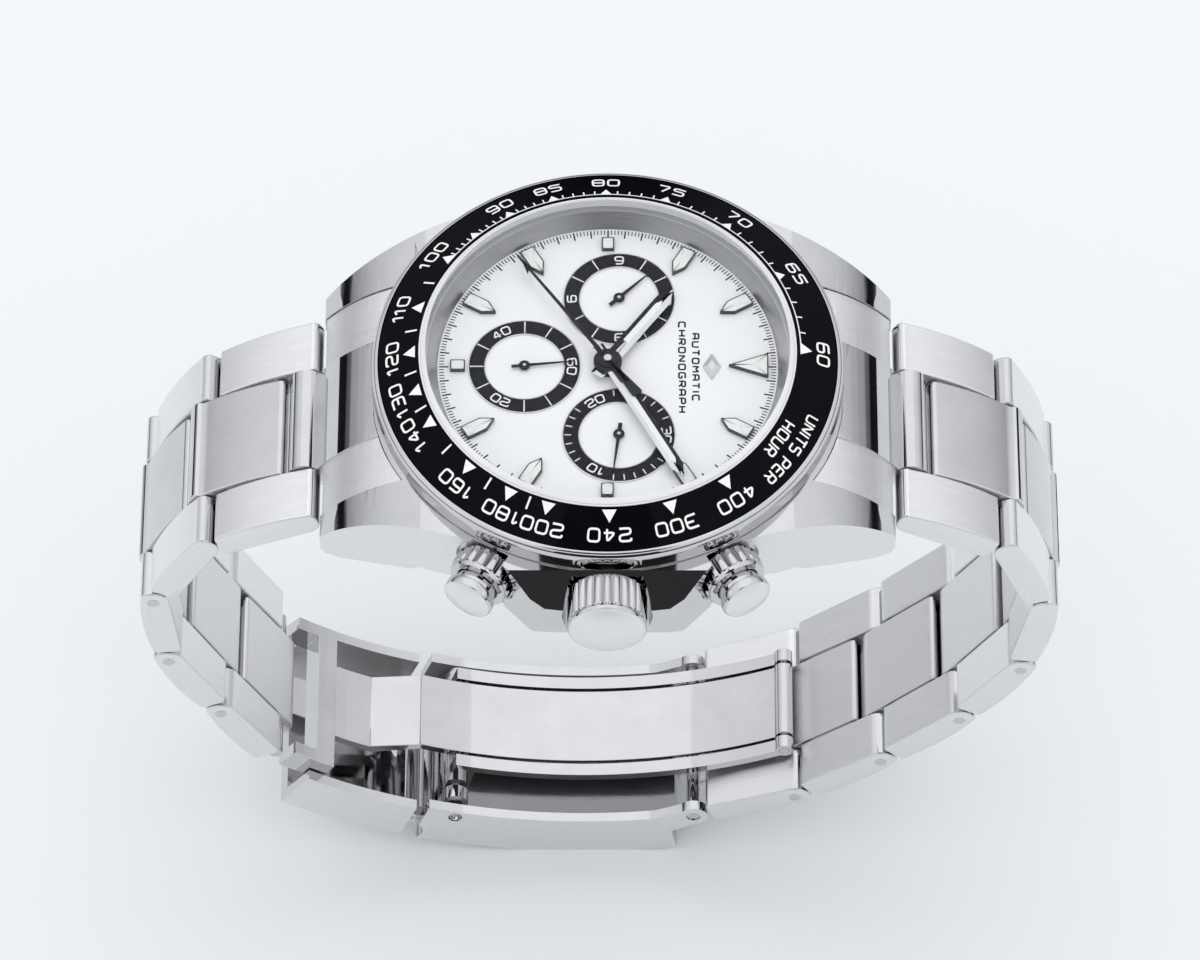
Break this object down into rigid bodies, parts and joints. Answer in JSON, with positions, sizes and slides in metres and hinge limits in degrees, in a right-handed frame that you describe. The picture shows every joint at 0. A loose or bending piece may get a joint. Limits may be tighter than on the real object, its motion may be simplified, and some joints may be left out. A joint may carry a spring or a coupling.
{
  "type": "chronograph wristwatch",
  "caption": "Three-hand chronograph wristwatch with tachymeter bezel, screw-down crown and pushers, and a three-piece-link steel bracelet closed by a folding clasp.",
  "frame": {"origin": "on the flat rest face under the closed clasp, straight below the axis of the hands", "axes": "+X to 3 o'clock (crown side), +Y to 12 o'clock, +Z out of the dial; the dial is level and the watch stands on its clasp"},
  "size_m": [0.0447, 0.0791, 0.067],
  "materials": {
    "polished_steel": "mirror polished stainless steel",
    "brushed_steel": "satin stainless steel",
    "black_ceramic": "gloss black ceramic with white scale",
    "sapphire": "clear flat crystal",
    "white_nylon": "matte nylon",
    "white_lacquer": "white lacquer",
    "dark_frame": "dark polished frame",
    "lume": "white luminous paint",
    "black_print": "black lacquer",
    "rubber": "matte",
    "movement_brass": "gilt",
    "movement_steel": "rhodium plated"
  },
  "bodies": {
    "head": {"mid_case": "polished_steel", "bezel_ring": "polished_steel", "bezel_insert": "black_ceramic", "crystal": "sapphire", "crystal_gasket": "white_nylon", "flange_ring": "brushed_steel", "dial": "white_lacquer", "hour_markers": "dark_frame", "marker_lume": "lume", "subdial_rings": "black_print", "dial_emblem": "polished_steel", "case_back": "brushed_steel", "case_back_gasket": "rubber", "movement_holder": "white_nylon", "main_plate": "movement_brass", "train_bridge": "movement_steel", "crown_tube": "brushed_steel", "pusher_tubes": "brushed_steel", "end_link_12": "brushed_steel", "end_link_6": "brushed_steel", "lug_spring_bars": "brushed_steel"},
    "hour_hand": {"hour_hand": "polished_steel"},
    "minute_hand": {"minute_hand": "polished_steel"},
    "chrono_seconds": {"chrono_seconds_hand": "black_print"},
    "small_seconds": {"small_seconds_hand": "black_print"},
    "counter_30": {"counter_30_hand": "black_print"},
    "counter_12": {"counter_12_hand": "polished_steel"},
    "barrel": {"barrel": "movement_brass"},
    "balance": {"balance": "movement_brass"},
    "rotor": {"rotor": "movement_steel"},
    "stem": {"winding_stem": "brushed_steel"},
    "crown": {"crown": "polished_steel"},
    "pusher_2": {"pusher_2": "polished_steel"},
    "pusher_4": {"pusher_4": "polished_steel"},
    "collar_2": {"collar_2": "polished_steel"},
    "collar_4": {"collar_4": "polished_steel"},
    "link_12_1": {"link_12_1": "brushed_steel"},
    "link_12_2": {"link_12_2": "brushed_steel"},
    "link_12_3": {"link_12_3": "brushed_steel"},
    "link_12_4": {"link_12_4": "brushed_steel"},
    "link_12_5": {"link_12_5": "brushed_steel"},
    "link_12_6": {"link_12_6": "brushed_steel"},
    "link_12_7": {"link_12_7": "brushed_steel"},
    "link_6_1": {"link_6_1": "brushed_steel"},
    "link_6_2": {"link_6_2": "brushed_steel"},
    "link_6_3": {"link_6_3": "brushed_steel"},
    "link_6_4": {"link_6_4": "brushed_steel"},
    "link_6_5": {"link_6_5": "brushed_steel", "clasp_spring_bar": "brushed_steel"},
    "clasp_cover": {"clasp_cover": "brushed_steel", "cover_pin": "brushed_steel", "clasp_knuckle_pin": "brushed_steel", "flip_pin": "brushed_steel"},
    "flip_lock": {"flip_lock": "brushed_steel"},
    "blade_mid": {"blade_mid": "polished_steel", "blade_pin": "brushed_steel"},
    "blade_inner": {"blade_inner": "polished_steel"}
  },
  "joints": [
    {"name": "minute_hand_turn", "type": "hinge", "parent": "head", "child": "minute_hand", "pos_m": [0, 0, 0.0649], "axis": [0, 0, -1], "continuous": true},
    {"name": "hour_hand_turn", "type": "hinge", "parent": "head", "child": "hour_hand", "pos_m": [0, 0, 0.06465], "axis": [0, 0, -1], "continuous": true},
    {"name": "small_seconds_turn", "type": "hinge", "parent": "head", "child": "small_seconds", "pos_m": [0, -0.007, 0.06425], "axis": [0, 0, -1], "continuous": true},
    {"name": "chrono_seconds_turn", "type": "hinge", "parent": "head", "child": "chrono_seconds", "pos_m": [0, 0, 0.06515], "axis": [0, 0, -1], "continuous": true},
    {"name": "counter_30_turn", "type": "hinge", "parent": "head", "child": "counter_30", "pos_m": [0.007, 0.00095, 0.06425], "axis": [0, 0, -1], "continuous": true},
    {"name": "counter_12_turn", "type": "hinge", "parent": "head", "child": "counter_12", "pos_m": [-0.007, 0.00095, 0.06425], "axis": [0, 0, -1], "continuous": true},
    {"name": "barrel_turn", "type": "hinge", "parent": "head", "child": "barrel", "pos_m": [-0.0065, 0.0062, 0.061], "axis": [0, 0, -1], "continuous": true},
    {"name": "balance_swing", "type": "hinge", "parent": "head", "child": "balance", "pos_m": [0.0052, -0.0074, 0.0607], "axis": [0, 0, 1], "range_deg": [-150, 150]},
    {"name": "rotor_turn", "type": "hinge", "parent": "head", "child": "rotor", "pos_m": [0, 0, 0.0577], "axis": [0, 0, 1], "continuous": true},
    {"name": "stem_pull", "type": "slide", "parent": "head", "child": "stem", "axis": [1, 0, 0], "range_m": [0, 0.002]},
    {"name": "crown_turn", "type": "hinge", "parent": "stem", "child": "crown", "pos_m": [0.022, 0, 0.0604], "axis": [1, 0, 0], "continuous": true},
    {"name": "pusher_2_press", "type": "slide", "parent": "head", "child": "pusher_2", "axis": [-0.8746, -0.4848, 0], "range_m": [0, 0.0007], "stiffness_N_per_m": 2000, "springref_m": -0.0004},
    {"name": "collar_2_unscrew", "type": "hinge", "parent": "head", "child": "collar_2", "pos_m": [0.01863, 0.01033, 0.0604], "axis": [0.8746, 0.4848, 0], "range_deg": [0, 540]},
    {"name": "pusher_4_press", "type": "slide", "parent": "head", "child": "pusher_4", "axis": [-0.8746, 0.4848, 0], "range_m": [0, 0.0007], "stiffness_N_per_m": 2000, "springref_m": -0.0004},
    {"name": "collar_4_unscrew", "type": "hinge", "parent": "head", "child": "collar_4", "pos_m": [0.01863, -0.01033, 0.0604], "axis": [0.8746, -0.4848, 0], "range_deg": [0, 540]},
    {"name": "bracelet_12_1", "type": "hinge", "parent": "head", "child": "link_12_1", "pos_m": [0, 0.0257, 0.0551], "axis": [1, 0, 0], "range_deg": [0, 35]},
    {"name": "bracelet_12_2", "type": "hinge", "parent": "link_12_1", "child": "link_12_2", "pos_m": [0, 0.03419, 0.0502], "axis": [1, 0, 0], "range_deg": [0, 45]},
    {"name": "bracelet_12_3", "type": "hinge", "parent": "link_12_2", "child": "link_12_3", "pos_m": [0, 0.03754, 0.04099], "axis": [1, 0, 0], "range_deg": [0, 35]},
    {"name": "bracelet_12_4", "type": "hinge", "parent": "link_12_3", "child": "link_12_4", "pos_m": [0, 0.03584, 0.03134], "axis": [1, 0, 0], "range_deg": [0, 26]},
    {"name": "bracelet_12_5", "type": "hinge", "parent": "link_12_4", "child": "link_12_5", "pos_m": [0, 0.03079, 0.02294], "axis": [1, 0, 0], "range_deg": [0, 17]},
    {"name": "bracelet_12_6", "type": "hinge", "parent": "link_12_5", "child": "link_12_6", "pos_m": [0, 0.02411, 0.01577], "axis": [1, 0, 0], "range_deg": [0, 12]},
    {"name": "bracelet_12_7", "type": "hinge", "parent": "link_12_6", "child": "link_12_7", "pos_m": [0, 0.0166, 0.00947], "axis": [1, 0, 0], "range_deg": [0, 22]},
    {"name": "bracelet_6_1", "type": "hinge", "parent": "head", "child": "link_6_1", "pos_m": [0, -0.0257, 0.0551], "axis": [-1, 0, 0], "range_deg": [0, 32]},
    {"name": "bracelet_6_2", "type": "hinge", "parent": "link_6_1", "child": "link_6_2", "pos_m": [0, -0.03443, 0.05065], "axis": [-1, 0, 0], "range_deg": [0, 40]},
    {"name": "bracelet_6_3", "type": "hinge", "parent": "link_6_2", "child": "link_6_3", "pos_m": [0, -0.03903, 0.042], "axis": [-1, 0, 0], "range_deg": [0, 38]},
    {"name": "bracelet_6_4", "type": "hinge", "parent": "link_6_3", "child": "link_6_4", "pos_m": [0, -0.03818, 0.03224], "axis": [-1, 0, 0], "range_deg": [0, 25]},
    {"name": "bracelet_6_5", "type": "hinge", "parent": "link_6_4", "child": "link_6_5", "pos_m": [0, -0.03404, 0.02335], "axis": [-1, 0, 0], "range_deg": [0, 7]},
    {"name": "clasp_open", "type": "hinge", "parent": "link_12_7", "child": "clasp_cover", "pos_m": [0, 0.00758, 0.00564], "axis": [1, 0, 0], "range_deg": [0, 70]},
    {"name": "blade_mid_fold", "type": "hinge", "parent": "clasp_cover", "child": "blade_mid", "pos_m": [0, -0.01381, 0.00548], "axis": [1, 0, 0], "range_deg": [0, 56]},
    {"name": "blade_inner_fold", "type": "hinge", "parent": "blade_mid", "child": "blade_inner", "pos_m": [0, 0.01568, 0.01187], "axis": [1, 0, 0], "range_deg": [-56, 0]},
    {"name": "flip_lock_open", "type": "hinge", "parent": "clasp_cover", "child": "flip_lock", "pos_m": [0, -0.01801, 0.00331], "axis": [1, 0, 0], "range_deg": [0, 85]}
  ],
  "couplings": [
    {"joint": "hour_hand_turn", "follows": "minute_hand_turn", "ratio": 0.083333},
    {"joint": "small_seconds_turn", "follows": "minute_hand_turn", "ratio": 60},
    {"joint": "barrel_turn", "follows": "minute_hand_turn", "ratio": 0.13333},
    {"joint": "counter_30_turn", "follows": "chrono_seconds_turn", "ratio": 0.033333},
    {"joint": "counter_12_turn", "follows": "chrono_seconds_turn", "ratio": 0.0013889},
    {"joint": "blade_mid_fold", "follows": "clasp_open", "ratio": 0.8},
    {"joint": "blade_inner_fold", "follows": "clasp_open", "ratio": -0.8}
  ]
}
